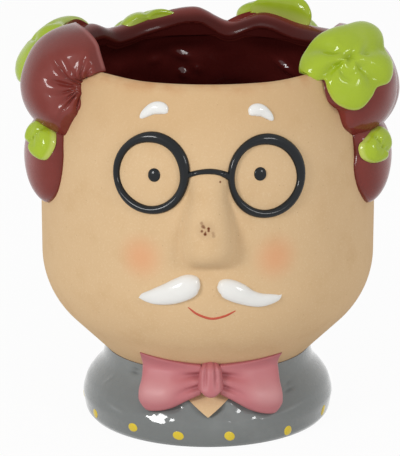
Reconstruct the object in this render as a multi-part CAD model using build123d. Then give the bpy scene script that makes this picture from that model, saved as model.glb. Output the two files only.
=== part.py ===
"""Head planter: a hollow stoneware head on a low bust, dressed with luted clay pieces.

Millimetres, +Z up. The face looks towards -Y. The origin is the centre of the foot, on the surface the pot
stands on. Places on the head are an azimuth, in degrees from the middle of the face towards +X, and a height.
"""

import math
import os

from build123d import *

# Head shell: a bowl of revolution, straight at the cheeks, open at the forehead
RIM_HEIGHT = 146.0
HEAD_RADIUS = 66.2
RIM_INSET = 9.2
CHEEK_TOP = 84.0
CHEEK_BOTTOM = 68.0
NECK_HEIGHT = 28.5
NECK_RADIUS = 41.4
JAW_SLOPE = 45.0
HEAD_WALL = 5.0

# Bust: foot, rounded shoulder and drawn-in collar
FOOT_RADIUS = 48.3
SHOULDER_RADIUS = 50.7
SHOULDER_HEIGHT = 9.0
SLOPE_RADIUS = 46.7
SLOPE_HEIGHT = 18.0
COLLAR_LAP = 1.0
BUST_WALL = 5.0
FLOOR_THICKNESS = 6.0
FOOT_RING_DEPTH = 3.0
FOOT_RING_WIDTH = 6.0

# Drain hole and the soft plug that closes it from below
DRAIN_RADIUS = 6.5
PLUG_CLEARANCE = 0.3
PLUG_FLANGE_RADIUS = 10.0
PLUG_FLANGE_THICKNESS = 1.6
PLUG_LEAD = 1.2

# Hair cap: a layer over the sides and back, with a roll over the rim
CAP_AZIMUTH = 60.0
CAP_DEPTH = 38.0
CAP_THICKNESS = 3.0
CAP_ROOT = 2.0
ROLL_RADIUS = 6.0
ROLL_SETBACK = 0.5

# Hair tufts round the rim: balls sunk into the head, by azimuth and depth under the rim
TUFT_RADIUS = 25.0
TUFT_RELIEF = 16.0
TUFTS = {
    "hair_tuft_left_front": (-72.0, 8.0),
    "hair_tuft_right_front": (73.0, 9.0),
    "hair_tuft_left_side": (-107.0, 13.0),
    "hair_tuft_right_side": (98.0, 14.0),
    "hair_tuft_back_left": (-157.0, 18.0),
    "hair_tuft_back_right": (155.0, 15.0),
}

# Hair locks under the tufts: drops that hang point down, by azimuth
LOCK_DEPTH = 35.0
LOCK_LENGTH = 25.0
LOCK_RADIUS = 18.0
LOCK_RELIEF = 7.5
LOCK_LEAN = 12.0
LOCKS = {
    "hair_lock_left_front": -77.0,
    "hair_lock_right_front": 77.0,
    "hair_lock_left_side": -111.0,
    "hair_lock_right_side": 111.0,
    "hair_lock_back_left": -145.0,
    "hair_lock_back_right": 145.0,
    "hair_lock_nape": 180.0,
}

# Leaves: lobed pads wrapped over a tuft or a lock. Which one, where the leaf looks (azimuth, elevation),
# its half size, its lobes and their turn
LEAF_THICKNESS = 3.0
LEAF_LOBE_SHARE = 0.4
LEAVES = {
    "leaf_right_front": ("hair_tuft_right_front", 14.0, 38.0, 20.5, 5, 20.0),
    "leaf_left_side": ("hair_tuft_left_side", -95.0, 36.0, 20.0, 5, 0.0),
    "leaf_back_left": ("hair_tuft_back_left", -163.0, 52.0, 16.0, 5, 35.0),
    "leaf_back_right": ("hair_tuft_back_right", 158.0, 54.0, 18.0, 5, 10.0),
    "leaf_left_low": ("hair_lock_left_front", -52.0, 20.0, 8.5, 2, -40.0),
    "leaf_right_low": ("hair_lock_right_front", 52.0, 16.0, 8.5, 2, 40.0),
    "leaf_nape_left": ("hair_lock_back_left", -135.0, 15.0, 9.0, 2, 30.0),
    "leaf_nape_right": ("hair_lock_right_side", 118.0, 12.0, 9.0, 2, 5.0),
}

# Face: the same on both sides; the eyes hang from the rim and the rest is placed from the eyes
EYE_AZIMUTH = 19.3
EYE_DEPTH = 33.4
SPECTACLE_OUTER_RADIUS = 15.6
SPECTACLE_INNER_RADIUS = 12.3
SPECTACLE_RELIEF = 1.8
BRIDGE_WIDTH = 2.0
BRIDGE_RISE = 2.0
PUPIL_AZIMUTH = 17.8
PUPIL_RADIUS = 2.5
PUPIL_RELIEF = 1.0
BROW_INNER_AZIMUTH = 14.8
BROW_INNER_RISE = 23.6
BROW_TIP_AZIMUTH = 24.4
BROW_TIP_RISE = 20.0
BROW_RADIUS = 2.6
BROW_SINK = 1.2
NOSE_BASE_DROP = 27.6
NOSE_TOP_RISE = 3.4
NOSE_RADIUS = 11.5
NOSE_SINK = 2.6
MOUSTACHE_INNER_AZIMUTH = 5.6
MOUSTACHE_INNER_DROP = 41.2
MOUSTACHE_TIP_AZIMUTH = 24.6
MOUSTACHE_TIP_DROP = 48.0
MOUSTACHE_RADIUS = 5.0
MOUSTACHE_SINK = 1.6

# Bow tie at the collar and the bare neck that shows under it, placed from the neck
BOW_CENTRE_DROP = 2.5
BOW_STANDOFF = 3.0
BOW_KNOT_HALF_WIDTH = 5.6
BOW_KNOT_HALF_HEIGHT = 7.6
BOW_KNOT_HALF_DEPTH = 6.0
BOW_ROOT_AZIMUTH = 6.0
BOW_END_AZIMUTH = 36.5
BOW_ROOT_HALF_HEIGHT = 5.6
BOW_MIDDLE_HALF_HEIGHT = 9.0
BOW_END_HALF_HEIGHT = 10.4
BOW_HALF_DEPTH = 5.2
BOW_TILT = 16.0
NECK_V_TIP_DROP = 15.5
NECK_V_TOP_DROP = 4.5
NECK_V_HALF_WIDTH = 14.5
NECK_V_RELIEF = 0.8

# Working margins: how far a cutting body runs past what it cuts
OVERRUN = 60.0


def arc_radius(height, depth):
    """Radius of an arc that starts upright and reaches in by depth over a height."""
    return (height**2 + depth**2) / (2 * depth)


RIM_RADIUS = HEAD_RADIUS - RIM_INSET
BROW_ARC = arc_radius(RIM_HEIGHT - CHEEK_TOP, RIM_INSET)
JAW_SIN = math.sin(math.radians(JAW_SLOPE))
JAW_COS = math.cos(math.radians(JAW_SLOPE))
JAW_DROP = CHEEK_BOTTOM - NECK_HEIGHT
JAW_INSET = HEAD_RADIUS - NECK_RADIUS
JAW_ARC = (JAW_DROP * JAW_COS - JAW_INSET * JAW_SIN) / (1 - JAW_SIN)
JAW_POINT = (HEAD_RADIUS - JAW_ARC * (1 - JAW_COS), CHEEK_BOTTOM - JAW_ARC * JAW_SIN)
COLLAR_RADIUS = NECK_RADIUS + COLLAR_LAP
MOUTH_RADIUS = RIM_RADIUS - HEAD_WALL
CAP_BOTTOM = RIM_HEIGHT - CAP_DEPTH
EYE_HEIGHT = RIM_HEIGHT - EYE_DEPTH
BOW_CENTRE_HEIGHT = NECK_HEIGHT - BOW_CENTRE_DROP


def head_radius(height):
    """Outer radius of the head at a height, its brow arc carried on above the rim."""
    if height >= CHEEK_TOP:
        return HEAD_RADIUS - BROW_ARC + math.sqrt(BROW_ARC**2 - (height - CHEEK_TOP) ** 2)
    if height >= CHEEK_BOTTOM:
        return HEAD_RADIUS
    if height >= JAW_POINT[1]:
        return HEAD_RADIUS - JAW_ARC + math.sqrt(JAW_ARC**2 - (CHEEK_BOTTOM - height) ** 2)
    return NECK_RADIUS + (height - NECK_HEIGHT) * JAW_COS / JAW_SIN


def turned_plane(origin, across, normal, spin):
    """A plane by its origin, sideways direction and normal, spun about that normal."""
    angle = math.radians(spin)
    x_dir = across * math.cos(angle) + normal.cross(across) * math.sin(angle)
    return Plane(origin=origin, x_dir=x_dir, z_dir=normal)


def head_frame(azimuth, height, standoff=0.0, spin=0.0):
    """Plane on the head: x to the right as seen from outside, y up along the head, z outwards."""
    step = 0.5
    slope = (head_radius(height + step) - head_radius(height - step)) / (2 * step)
    turn = math.radians(azimuth)
    radial = Vector(math.sin(turn), -math.cos(turn), 0)
    normal = (radial - Vector(0, 0, slope)).normalized()
    across = Vector(math.cos(turn), math.sin(turn), 0)
    foot = radial * head_radius(height) + Vector(0, 0, height)
    return turned_plane(foot + normal * standoff, across, normal, spin)


def spun(profile):
    """A full turn about Z of a closed outline drawn as (radius, height)."""
    return revolve(Plane.XZ * make_face(profile), Axis.Z)


def ellipsoid(half_x, half_y, half_z):
    """A ball stretched to three half sizes."""
    return scale(Sphere(1), by=(half_x, half_y, half_z))


def drop(length, radius):
    """A drop along +Y: round at y = 0, tapering to a point at y = length."""
    belly = (radius, 0)
    outline = (
        JernArc(belly, (0, -1), radius, -90)
        + TangentArc(belly, (0, length), tangent=(0, 1))
        + Line((0, length), (0, -radius))
    )
    return revolve(make_face(outline), Axis.Y)


def largest(shape):
    """The main solid left by a cut."""
    return max(shape.solids(), key=lambda solid: solid.volume)


def head_outline(inset=0.0):
    """The head's outline from rim to neck, moved in by the wall for the inside."""
    rim = (RIM_RADIUS - inset, RIM_HEIGHT)
    cheek_top = (HEAD_RADIUS - inset, CHEEK_TOP)
    cheek_bottom = (HEAD_RADIUS - inset, CHEEK_BOTTOM)
    jaw = (JAW_POINT[0] - inset * JAW_COS, JAW_POINT[1] + inset * JAW_SIN)
    neck = (NECK_RADIUS - inset, NECK_HEIGHT + inset * (1 - JAW_COS) / JAW_SIN)
    neck_end = (NECK_RADIUS - inset, NECK_HEIGHT)
    curve = [
        TangentArc(cheek_top, rim, tangent=(0, 1)),
        Line(cheek_top, cheek_bottom),
        TangentArc(cheek_bottom, jaw, tangent=(0, -1)),
        Line(jaw, neck),
    ]
    if inset:
        curve.append(Line(neck, neck_end))
    return curve, rim, neck_end


def head_form():
    """The head as a solid block, for seating what lies on it."""
    curve, rim, neck = head_outline()
    return spun(curve + [Line(rim, (0, rim[1])), Line((0, rim[1]), (0, neck[1])), Line((0, neck[1]), neck)])


def head_shell():
    """The open bowl of the head."""
    outer, rim, neck = head_outline()
    inner, inner_rim, inner_neck = head_outline(HEAD_WALL)
    return spun(outer + inner + [Line(rim, inner_rim), Line(neck, inner_neck)])


def bust_outline(proud=0.0):
    """The bust's outside from foot to collar, moved out for what lies on it."""
    foot = (FOOT_RADIUS + proud, 0)
    shoulder = (SHOULDER_RADIUS + proud, SHOULDER_HEIGHT)
    slope = (SLOPE_RADIUS + proud, SLOPE_HEIGHT)
    collar = (COLLAR_RADIUS + proud, NECK_HEIGHT)
    shoulder_arc = TangentArc(shoulder, slope, tangent=(0, 1))
    return [
        TangentArc(shoulder, foot, tangent=(0, -1)),
        shoulder_arc,
        TangentArc(slope, collar, tangent=shoulder_arc % 1),
    ], foot, collar


def bust_form(proud=0.0):
    """The bust as a solid block, for seating what lies on it."""
    curve, foot, collar = bust_outline(proud)
    return spun(curve + [Line(collar, (0, collar[1])), Line((0, collar[1]), (0, 0)), Line((0, 0), foot)])


def bust():
    """The bust: wall, floor with the drain hole, and a foot ring under it."""
    outer, foot, collar = bust_outline()
    floor_top = FOOT_RING_DEPTH + FLOOR_THICKNESS
    path = [
        collar,
        (NECK_RADIUS - HEAD_WALL, NECK_HEIGHT),
        (FOOT_RADIUS - BUST_WALL, floor_top),
        (DRAIN_RADIUS, floor_top),
        (DRAIN_RADIUS, FOOT_RING_DEPTH),
        (FOOT_RADIUS - FOOT_RING_WIDTH, FOOT_RING_DEPTH),
        (FOOT_RADIUS - FOOT_RING_WIDTH, 0),
        foot,
    ]
    return spun(outer + [Line(a, b) for a, b in zip(path, path[1:])])


def drain_plug():
    """A soft stopper pushed up into the drain hole, its flange under the floor."""
    stem_radius = DRAIN_RADIUS - PLUG_CLEARANCE
    seat = Plane.XY.offset(FOOT_RING_DEPTH)
    stem = seat * extrude(Circle(stem_radius), FLOOR_THICKNESS + PLUG_LEAD)
    stem = chamfer(stem.edges().sort_by(Axis.Z)[-1], PLUG_LEAD)
    flange = seat * extrude(Circle(PLUG_FLANGE_RADIUS), -PLUG_FLANGE_THICKNESS)
    return stem + flange


def brow_arc(low, high, proud=0.0):
    """The head's outline between two heights over the cheeks, moved out by proud."""
    middle = (low + high) / 2
    return ThreePointArc(*((head_radius(height) + proud, height) for height in (low, middle, high)))


def face_layer(thickness):
    """A layer that lies on the face from the cheeks to the rim."""
    inner, outer = brow_arc(CHEEK_TOP, RIM_HEIGHT), brow_arc(CHEEK_TOP, RIM_HEIGHT, thickness)
    low = [(HEAD_RADIUS, CHEEK_BOTTOM), (HEAD_RADIUS + thickness, CHEEK_BOTTOM)]
    cheeks = [Line(low[0], inner @ 0), Line(low[1], outer @ 0), Line(*low)]
    return spun([inner, outer, *cheeks, Line(inner @ 1, outer @ 1)])


def under_brow(top, proud):
    """The half section under the hair, from the axis to the head's outline moved out by proud."""
    side = brow_arc(CAP_BOTTOM, top, proud)
    return make_face([side, Line(side @ 1, (0, top)), Line((0, top), (0, CAP_BOTTOM)), Line((0, CAP_BOTTOM), side @ 0)])


def cap_turn(root=0.0):
    """The hair layer from temple to temple round the back, rolled over the rim, or rooted in the head."""
    roll = Pos(MOUTH_RADIUS + ROLL_SETBACK + ROLL_RADIUS, RIM_HEIGHT) * Circle(ROLL_RADIUS)
    section = under_brow(RIM_HEIGHT, CAP_THICKNESS) + roll
    if root:
        section += Pos(MOUTH_RADIUS, RIM_HEIGHT) * Rectangle(2 * (ROLL_SETBACK + ROLL_RADIUS), 2 * ROLL_RADIUS)
    section -= under_brow(RIM_HEIGHT - root, -root)
    face = (Plane.XZ * section).rotate(Axis.Z, CAP_AZIMUTH - 90)
    return revolve(face, Axis.Z, 360 - 2 * CAP_AZIMUTH)


def hair_ground(head):
    """What the hair lies on: the head, the cap and the space over the mouth, as one block."""
    mouth = Pos(0, 0, RIM_HEIGHT - CAP_ROOT) * extrude(Circle(MOUTH_RADIUS), OVERRUN)
    return head + cap_turn(CAP_ROOT) + mouth


def tuft_frame(azimuth, depth):
    """Plane at the middle of a tuft's ball."""
    return head_frame(azimuth, RIM_HEIGHT - depth, TUFT_RELIEF - TUFT_RADIUS)


def lock_frame(azimuth):
    """Plane at the middle of a lock's round end, y down the lock and leaning towards the face."""
    side = (azimuth > 0) - (azimuth < 0)
    lean = -side * LOCK_LEAN if abs(azimuth) < 180 else 0
    return head_frame(azimuth, RIM_HEIGHT - LOCK_DEPTH, LOCK_RELIEF - LOCK_RADIUS, 180 + lean)


def leaf(centre, radius, azimuth, elevation, half_size, lobes, turn):
    """One lobed leaf wrapped over a ball."""
    around, up = math.radians(azimuth), math.radians(elevation)
    look = Vector(math.sin(around) * math.cos(up), -math.cos(around) * math.cos(up), math.sin(up))
    across = Vector(math.cos(around), math.sin(around), 0)
    frame = turned_plane(centre, across, look, turn)
    lobe_radius = half_size * LEAF_LOBE_SHARE
    lobe_reach = half_size - lobe_radius
    outline = Circle(lobe_reach)
    for n in range(round(lobes)):
        outline += Rot(Z=360 / lobes * n) * Pos(lobe_reach, 0) * Circle(lobe_radius)
    layer = Sphere(radius + LEAF_THICKNESS) - Sphere(radius)
    return frame.location * (extrude(outline, radius + OVERRUN) & layer)


def between(start, end, sink):
    """Plane sunk into the head at one place, y towards another, z outwards; and the way between them."""
    origin = head_frame(*start, -sink).origin
    way = head_frame(*end, -sink).origin - origin
    across = way.cross(head_frame(*start).z_dir)
    return Plane(origin=origin, x_dir=across, z_dir=across.cross(way)), way.length


def face_drop(side, inner, tip, radius, sink):
    """A drop on one side of the face, round end inwards."""
    frame, length = between((side * inner[0], inner[1]), (side * tip[0], tip[1]), sink)
    return frame.location * drop(length, radius)


def nose():
    """The nose: a drop with its round end down."""
    base = (0, EYE_HEIGHT - NOSE_BASE_DROP)
    top = (0, EYE_HEIGHT + NOSE_TOP_RISE)
    return face_drop(1, base, top, NOSE_RADIUS, NOSE_SINK)


def brow(side):
    """One eyebrow, its round end towards the nose."""
    inner = (BROW_INNER_AZIMUTH, EYE_HEIGHT + BROW_INNER_RISE)
    tip = (BROW_TIP_AZIMUTH, EYE_HEIGHT + BROW_TIP_RISE)
    return face_drop(side, inner, tip, BROW_RADIUS, BROW_SINK)


def moustache(side):
    """One half of the moustache, its round end under the nose."""
    inner = (MOUSTACHE_INNER_AZIMUTH, EYE_HEIGHT - MOUSTACHE_INNER_DROP)
    tip = (MOUSTACHE_TIP_AZIMUTH, EYE_HEIGHT - MOUSTACHE_TIP_DROP)
    return face_drop(side, inner, tip, MOUSTACHE_RADIUS, MOUSTACHE_SINK)


def spectacle_rim(side, band):
    """One round spectacle rim, cut from a layer on the face."""
    ring = Circle(SPECTACLE_OUTER_RADIUS) - Circle(SPECTACLE_INNER_RADIUS)
    frame = head_frame(side * EYE_AZIMUTH, EYE_HEIGHT)
    return (frame.location * extrude(ring, SPECTACLE_OUTER_RADIUS / 2, both=True)) & band


def spectacle_bridge(band):
    """The arched strip from rim to rim over the nose."""
    turn = math.radians(EYE_AZIMUTH)
    reach = head_radius(EYE_HEIGHT) * math.sin(turn) - SPECTACLE_INNER_RADIUS * math.cos(turn)
    low, high = EYE_HEIGHT - BRIDGE_WIDTH / 2, EYE_HEIGHT + BRIDGE_WIDTH / 2
    under = ThreePointArc((-reach, low), (0, low + BRIDGE_RISE), (reach, low))
    over = ThreePointArc((-reach, high), (0, high + BRIDGE_RISE), (reach, high))
    sides = [Line(under @ end, over @ end) for end in (0, 1)]
    strip = extrude(Plane.XZ * make_face([under, over, *sides]), HEAD_RADIUS + OVERRUN)
    return strip & band


def pupil(side):
    """One low domed pupil."""
    ball = (PUPIL_RADIUS**2 + PUPIL_RELIEF**2) / (2 * PUPIL_RELIEF)
    frame = head_frame(side * PUPIL_AZIMUTH, EYE_HEIGHT, PUPIL_RELIEF - ball)
    return frame.location * Sphere(ball)


def neck_v(chest):
    """The bare neck: a thin triangle laid on the front of the bust."""
    outline = Polyline(
        (0, NECK_HEIGHT - NECK_V_TIP_DROP),
        (NECK_V_HALF_WIDTH, NECK_HEIGHT - NECK_V_TOP_DROP),
        (-NECK_V_HALF_WIDTH, NECK_HEIGHT - NECK_V_TOP_DROP),
        close=True,
    )
    wedge = extrude(Plane.XZ * make_face(outline), SHOULDER_RADIUS + OVERRUN)
    return (bust_form(NECK_V_RELIEF) & wedge) - chest


def bow_knot():
    """The knot of the bow tie."""
    middle = Pos(0, -(COLLAR_RADIUS + BOW_STANDOFF), BOW_CENTRE_HEIGHT)
    return middle * ellipsoid(BOW_KNOT_HALF_WIDTH, BOW_KNOT_HALF_DEPTH, BOW_KNOT_HALF_HEIGHT)


def bow_section(azimuth, half_height, half_depth):
    """One cross-section of a wing, on a plane through the pot's axis."""
    turn = math.radians(azimuth)
    radial = Vector(math.sin(turn), -math.cos(turn), 0)
    across = Vector(math.cos(turn), math.sin(turn), 0)
    plane = Plane(origin=(0, 0, 0), x_dir=radial, z_dir=-across)
    place = Pos(COLLAR_RADIUS + BOW_STANDOFF, BOW_CENTRE_HEIGHT) * Rot(Z=BOW_TILT)
    return plane * (place * Ellipse(half_depth, half_height))


def bow_wing(side):
    """One wing of the bow tie, wrapped round the collar."""
    middle = (BOW_ROOT_AZIMUTH + BOW_END_AZIMUTH) / 2
    sections = [
        bow_section(side * BOW_ROOT_AZIMUTH, BOW_ROOT_HALF_HEIGHT, BOW_HALF_DEPTH),
        bow_section(side * middle, BOW_MIDDLE_HALF_HEIGHT, BOW_HALF_DEPTH),
        bow_section(side * BOW_END_AZIMUTH, BOW_END_HALF_HEIGHT, BOW_HALF_DEPTH),
    ]
    return loft(sections)


def seated(shape, *under):
    """The main solid of a shape once what lies under it is cut away."""
    for other in under:
        if shape.bounding_box(optimal=False).overlaps(other.bounding_box(optimal=False)):
            shape = largest(shape - other)
    return shape


def assemble():
    """Every piece in its place, by name."""
    head = head_form()
    chest = bust_form()
    sides = (("left", -1), ("right", 1))
    pieces = {
        "head_shell": head_shell(),
        "bust": bust(),
        "drain_plug": drain_plug(),
        "hair_cap": cap_turn(),
        "neck_v": neck_v(chest),
        "nose": seated(nose(), head),
    }
    spectacle_layer = face_layer(SPECTACLE_RELIEF)
    for name, side in sides:
        pieces[f"spectacle_rim_{name}"] = seated(spectacle_rim(side, spectacle_layer), pieces["nose"])
        pieces[f"pupil_{name}"] = seated(pupil(side), head)
        pieces[f"eyebrow_{name}"] = seated(brow(side), head)
        pieces[f"moustache_{name}"] = seated(moustache(side), head, pieces["nose"])
    rims = [pieces[f"spectacle_rim_{name}"] for name, side in sides]
    pieces["spectacle_bridge"] = seated(spectacle_bridge(spectacle_layer), pieces["nose"], *rims)
    collar = [head, chest, pieces["neck_v"]]
    pieces["bow_tie_knot"] = seated(bow_knot(), *collar)
    for name, side in sides:
        pieces[f"bow_tie_{name}"] = seated(bow_wing(side), *collar, pieces["bow_tie_knot"])
    under = [hair_ground(head)]
    balls = {}
    for name, place in TUFTS.items():
        tuft = tuft_frame(*place)
        balls[name] = (tuft.origin, TUFT_RADIUS)
        pieces[name] = seated(tuft.location * Sphere(TUFT_RADIUS), *under)
        under.append(pieces[name])
    for name, azimuth in LOCKS.items():
        lock = lock_frame(azimuth)
        balls[name] = (lock.origin, LOCK_RADIUS)
        pieces[name] = seated(lock.location * drop(LOCK_LENGTH, LOCK_RADIUS), *under)
        under.append(pieces[name])
    for name, (ball, *look) in LEAVES.items():
        pieces[name] = seated(leaf(*balls[ball], *look), *under)
        under.append(pieces[name])
    return pieces


if __name__ == "__main__":
    os.makedirs("parts", exist_ok=True)
    for node, solid in assemble().items():
        export_step(solid, f"parts/{node}.step")
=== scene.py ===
"""Head planter: a glazed stoneware head with spectacles, moustache, leafy hair and a bow tie.

Shapes are worked out in millimetres in the part's own frame (+Z up, the face towards -Y) and are scaled
to metres when a mesh becomes a piece. A place on the pot is an azimuth, in degrees from the middle of the
face towards +X, and a height.
"""

import logging
import math
from dataclasses import dataclass, field
from enum import Enum
from functools import partial
from typing import Any, Callable, Mapping, Sequence

import bmesh
import bpy
from mathutils import Matrix, Vector, noise


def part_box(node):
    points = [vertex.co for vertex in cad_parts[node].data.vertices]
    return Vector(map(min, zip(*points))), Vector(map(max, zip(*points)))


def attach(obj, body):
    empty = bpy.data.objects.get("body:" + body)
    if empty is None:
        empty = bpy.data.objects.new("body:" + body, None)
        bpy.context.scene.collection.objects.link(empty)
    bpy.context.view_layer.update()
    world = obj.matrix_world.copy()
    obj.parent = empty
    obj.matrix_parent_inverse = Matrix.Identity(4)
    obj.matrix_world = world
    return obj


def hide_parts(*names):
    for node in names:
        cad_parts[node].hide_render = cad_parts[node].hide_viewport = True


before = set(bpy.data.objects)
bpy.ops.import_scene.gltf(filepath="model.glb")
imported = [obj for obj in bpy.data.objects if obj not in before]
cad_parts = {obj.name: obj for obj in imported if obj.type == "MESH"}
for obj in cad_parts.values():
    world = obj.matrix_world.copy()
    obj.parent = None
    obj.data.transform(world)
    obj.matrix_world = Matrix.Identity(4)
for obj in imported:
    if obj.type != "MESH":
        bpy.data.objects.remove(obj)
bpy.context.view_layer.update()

MM = 0.001
POT = "pot"
LOG = logging.getLogger("planter")
Point = tuple[float, float]
Colour = tuple[float, float, float]


class Side(Enum):
    """The two sides of the face, as seen by someone who looks at it."""

    LEFT = -1
    RIGHT = 1

    @property
    def word(self) -> str:
        """The side's name in node names."""
        return self.name.lower()

    @classmethod
    def of(cls, azimuth: float) -> "Side":
        """The side that an azimuth lies on."""
        return cls.LEFT if azimuth < 0 else cls.RIGHT


def linear(hex_colour: str) -> Colour:
    """Turn a colour as written on screen into scene light.

    Args:
        hex_colour: Six hexadecimal digits.

    Returns:
        Red, green and blue as linear values.
    """
    channels = [int(hex_colour[i : i + 2], 16) / 255 for i in (0, 2, 4)]
    return tuple(c / 12.92 if c <= 0.04045 else ((c + 0.055) / 1.055) ** 2.4 for c in channels)


def ramp(low: float, high: float, value: float) -> float:
    """Rise smoothly from 0 at low to 1 at high."""
    t = min(max((value - low) / (high - low), 0.0), 1.0)
    return t * t * (3 - 2 * t)


def softened(value: float, soft: float) -> float:
    """A value that never falls below nothing, rounded off where it would."""
    share = value / soft
    return soft * (math.log1p(math.exp(-abs(share))) + max(share, 0.0))


def bell(value: float, width: float) -> float:
    """A smooth bump of height 1 around zero."""
    return math.exp(-((value / width) ** 2))


def along(points: Sequence[Point], value: float) -> float:
    """Read a smooth curve through points.

    Args:
        points: Pairs of place and value, places rising.
        value: The place to read.

    Returns:
        The curve's value there, held level past both ends.
    """
    if value <= points[0][0]:
        return points[0][1]
    for i, (left, right) in enumerate(zip(points, points[1:])):
        if value <= right[0]:
            before = points[max(i - 1, 0)]
            after = points[min(i + 2, len(points) - 1)]
            span = right[0] - left[0]
            t = (value - left[0]) / span
            leave = (right[1] - before[1]) / (right[0] - before[0]) * span
            arrive = (after[1] - left[1]) / (after[0] - left[0]) * span
            rise = right[1] - left[1]
            bend = 3 * rise - 2 * leave - arrive
            twist = leave + arrive - 2 * rise
            return left[1] + t * (leave + t * (bend + t * twist))
    return points[-1][1]


def around(points: Sequence[Point], turn: float) -> float:
    """Read a smooth closed curve through points.

    Args:
        points: Pairs of angle in degrees and value, angles rising within one turn.
        turn: The angle to read, in radians.

    Returns:
        The curve's value there.
    """
    first = points[0][0]
    angle = first + (math.degrees(turn) - first) % 360
    before = [(a - 360, v) for a, v in points[-2:]]
    after = [(a + 360, v) for a, v in points[:2]]
    return along([*before, *points, *after], angle)


def wrapped(angle: float) -> float:
    """The same angle in degrees, from -180 up to 180."""
    return (angle + 180) % 360 - 180


def azimuth_of(point: Vector) -> float:
    """A point's azimuth."""
    return math.degrees(math.atan2(point.x, -point.y))


def reach_of(point: Vector) -> float:
    """A point's distance from the z axis."""
    return math.hypot(point.x, point.y)


def placed(reach: float, azimuth: float, height: float) -> Vector:
    """The point at a distance from the z axis, an azimuth and a height."""
    turn = math.radians(azimuth)
    return Vector((reach * math.sin(turn), -reach * math.cos(turn), height))


def drawn(point: Vector, reach: float) -> Vector:
    """A point brought to a distance from the z axis, at its own azimuth and height."""
    share = reach / reach_of(point)
    return Vector((point.x * share, point.y * share, point.z))


class Field:
    """A shader value that can be used in Python expressions."""

    def __init__(self, nodes: "Nodes", socket: bpy.types.NodeSocket) -> None:
        """Wrap an output socket of a node tree."""
        self.nodes = nodes
        self.socket = socket

    def _math(self, operation: str, *values: Any) -> "Field":
        """Add a Math node.

        Args:
            operation: The node's operation.
            values: Its inputs, numbers or fields.

        Returns:
            The node's value.
        """
        node = self.nodes.node("ShaderNodeMath", {"operation": operation}, dict(enumerate(values)))
        return Field(self.nodes, node.outputs[0])

    def __add__(self, other: Any) -> "Field":
        """Sum."""
        return self._math("ADD", self, other)

    def __sub__(self, other: Any) -> "Field":
        """Difference."""
        return self._math("SUBTRACT", self, other)

    def __rsub__(self, other: Any) -> "Field":
        """Difference from a number."""
        return self._math("SUBTRACT", other, self)

    def __mul__(self, other: Any) -> "Field":
        """Product."""
        return self._math("MULTIPLY", self, other)

    __radd__ = __add__
    __rmul__ = __mul__

    def most(self, other: Any) -> "Field":
        """The larger of two values."""
        return self._math("MAXIMUM", self, other)

    def between(self, low: float, high: float) -> "Field":
        """Rise smoothly from 0 at low to 1 at high.

        Args:
            low: The value it starts at.
            high: The value it ends at.

        Returns:
            The blend.
        """
        settings = {"interpolation_type": "SMOOTHSTEP", "clamp": True}
        node = self.nodes.node("ShaderNodeMapRange", settings, {0: self, 1: low, 2: high})
        return Field(self.nodes, node.outputs[0])


class Nodes:
    """A node tree, and the one way to add nodes to it."""

    def __init__(self, tree: bpy.types.NodeTree) -> None:
        """Start from an empty tree."""
        self.tree = tree
        self.tree.nodes.clear()

    def node(
        self, kind: str, settings: Mapping[str, Any] | None = None, inputs: Mapping[Any, Any] | None = None
    ) -> bpy.types.Node:
        """Add any node.

        Args:
            kind: The node's type.
            settings: Properties, set before the sockets.
            inputs: Socket names or numbers to values, fields or sockets.

        Returns:
            The node.
        """
        node = self.tree.nodes.new(kind)
        for key, value in (settings or {}).items():
            setattr(node, key, value)
        for key, value in (inputs or {}).items():
            socket = node.inputs[key]
            if isinstance(value, Field):
                self.tree.links.new(value.socket, socket)
            elif isinstance(value, bpy.types.NodeSocket):
                self.tree.links.new(value, socket)
            elif socket.type == "RGBA":
                socket.default_value = (*value, 1.0)
            else:
                socket.default_value = value
        return node

    def seen(self) -> Field:
        """Tell what the camera sees from what only gives light.

        Returns:
            1 for what the camera sees, in a mirror or through glass too, and 0 for light.
        """
        path = self.node("ShaderNodeLightPath")
        kinds = ("Camera", "Glossy", "Transmission")
        camera, mirror, glass = (Field(self, path.outputs[f"Is {kind} Ray"]) for kind in kinds)
        return camera.most(mirror).most(glass)

    def blend(self, factor: Field, base: bpy.types.Node, other: bpy.types.Node) -> bpy.types.NodeSocket:
        """Mix two shaders by a factor."""
        inputs = {0: factor, 1: base.outputs[0], 2: other.outputs[0]}
        return self.node("ShaderNodeMixShader", inputs=inputs).outputs[0]


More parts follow.
